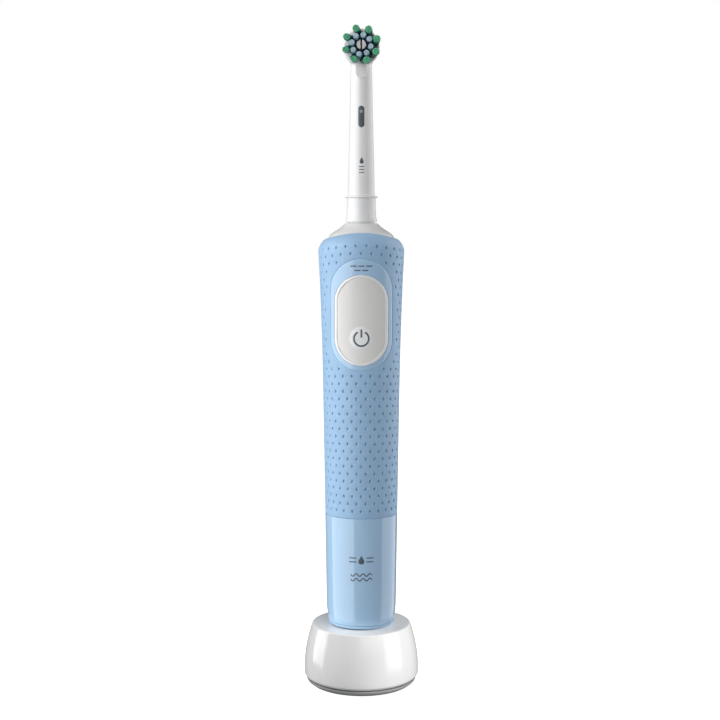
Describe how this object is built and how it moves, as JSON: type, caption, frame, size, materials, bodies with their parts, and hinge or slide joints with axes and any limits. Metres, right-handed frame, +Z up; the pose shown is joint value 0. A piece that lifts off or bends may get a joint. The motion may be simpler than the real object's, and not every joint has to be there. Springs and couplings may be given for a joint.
{
  "type": "electric toothbrush on charger",
  "caption": "Cordless electric toothbrush with a round oscillating bristle head, standing on the peg of its low round charger; pale blue grip, white neck and charger.",
  "frame": {"origin": "centre of the charger's underside, on the surface it stands on", "axes": "+Z up along the handle's axis, -Y towards the button and the bristles, +X to the right seen from the front"},
  "size_m": [0.0446, 0.0446, 0.2509],
  "materials": {
    "charger_white": "glossy white housing plastic",
    "base_grey": "satin grey plastic",
    "ferrite": "sintered ferrite, matt",
    "coil_copper": "enamelled copper wire",
    "inner_white": "moulded plastic, satin",
    "inner_grey": "moulded plastic, satin",
    "board": "solder-masked circuit board",
    "component_black": "moulded component bodies",
    "can_metal": "drawn metal can",
    "shell_blue": "glossy pale blue shell plastic",
    "grip_blue": "matt pale blue soft-touch rubber",
    "collar_white": "glossy white plastic",
    "button_white": "glossy white plastic",
    "button_grey": "satin pale grey rubber",
    "mark_grey": "printed grey mark",
    "seal_rubber": "black sealing rubber",
    "steel": "ground steel",
    "bronze": "sintered bronze",
    "cell_wrap": "shrink-wrapped cell",
    "gear_plastic": "acetal",
    "head_white": "glossy white plastic",
    "tuft_green": "nylon filaments",
    "tuft_blue": "nylon filaments",
    "tuft_white": "nylon filaments"
  },
  "bodies": {
    "charger": {"charger_housing": "charger_white", "charger_base_plate": "base_grey", "charger_core": "ferrite", "charger_bobbin": "inner_white", "charger_coil": "coil_copper", "charger_board": "board", "charger_capacitor": "can_metal", "charger_board_parts": "component_black", "cord_gland": "charger_white"},
    "handle": {"housing_tube": "shell_blue", "soft_grip": "grip_blue", "top_collar": "collar_white", "button_bezel": "shell_blue", "button_seal": "seal_rubber", "bottom_cap": "shell_blue", "bottom_seal_ring": "seal_rubber", "charging_bobbin": "inner_white", "charging_coil": "coil_copper", "chassis": "inner_grey", "battery_cell": "cell_wrap", "battery_plus_tab": "steel", "battery_minus_tab": "steel", "main_board": "board", "button_switch": "steel", "board_chips": "component_black", "motor_can": "can_metal", "motor_magnets": "ferrite", "motor_end_cap": "inner_white", "gearbox_frame": "inner_grey", "frame_screws": "steel", "gear_axle": "steel", "lower_shaft_bush": "bronze", "upper_shaft_bush": "bronze", "shaft_seal": "seal_rubber", "shaft_sleeve": "steel"},
    "motor_rotor": {"rotor_core": "coil_copper", "commutator": "coil_copper", "motor_shaft": "steel", "pinion_gear": "gear_plastic"},
    "crank_gear": {"crank_gear": "gear_plastic", "crank_pin": "steel"},
    "coupler_link": {"coupler_link": "steel"},
    "drive_shaft": {"drive_shaft": "steel", "rocker_arm": "inner_grey", "rocker_pin": "steel"},
    "power_button": {"power_button": "button_white", "button_pad": "button_grey", "power_symbol": "mark_grey"},
    "brush_head": {"brush_neck": "head_white", "head_base_ring": "head_white", "head_clip": "steel", "carrier_pin": "steel", "neck_mark": "mark_grey"},
    "head_rod": {"head_drive_rod": "inner_white"},
    "bristle_disc": {"bristle_carrier": "head_white", "outer_tufts": "tuft_green", "inner_tufts": "tuft_blue", "centre_tufts": "tuft_white"}
  },
  "joints": [
    {"name": "handle_lift", "type": "slide", "parent": "charger", "child": "handle", "axis": [0, 0, 1], "range_m": [0, 0.05]},
    {"name": "power_button_press", "type": "slide", "parent": "handle", "child": "power_button", "axis": [0, 1, 0], "range_m": [0, 0.0006], "stiffness_N_per_m": 900},
    {"name": "motor_spin", "type": "hinge", "parent": "handle", "child": "motor_rotor", "pos_m": [-0.00182, 0.002, 0.115], "axis": [0, 0, 1], "continuous": true},
    {"name": "crank_gear_spin", "type": "hinge", "parent": "handle", "child": "crank_gear", "pos_m": [0.0045, 0.0045, 0.1325], "axis": [0, 0, 1], "continuous": true},
    {"name": "drive_shaft_swing", "type": "hinge", "parent": "handle", "child": "drive_shaft", "pos_m": [0, 0, 0.17], "axis": [0, 0, 1], "range_deg": [-28, 28]},
    {"name": "coupler_link_swing", "type": "hinge", "parent": "drive_shaft", "child": "coupler_link", "pos_m": [0.0045, 0, 0.137], "axis": [0, 0, 1], "range_deg": [-29, 29]},
    {"name": "brush_head_pull", "type": "slide", "parent": "handle", "child": "brush_head", "axis": [0, 0, 1], "range_m": [0, 0.03]},
    {"name": "head_rod_swing", "type": "hinge", "parent": "brush_head", "child": "head_rod", "pos_m": [0, 0, 0.21], "axis": [0, 0, 1], "range_deg": [-29, 29]},
    {"name": "bristle_disc_swing", "type": "hinge", "parent": "brush_head", "child": "bristle_disc", "pos_m": [0, -0.0055, 0.2437], "axis": [0, 1, 0], "range_deg": [-22, 22]}
  ],
  "couplings": [
    {"joint": "crank_gear_spin", "follows": "motor_spin", "ratio": -0.36},
    {"joint": "coupler_link_swing", "follows": "drive_shaft_swing", "ratio": -1},
    {"joint": "head_rod_swing", "follows": "drive_shaft_swing", "ratio": 1},
    {"joint": "bristle_disc_swing", "follows": "drive_shaft_swing", "ratio": -0.75}
  ]
}
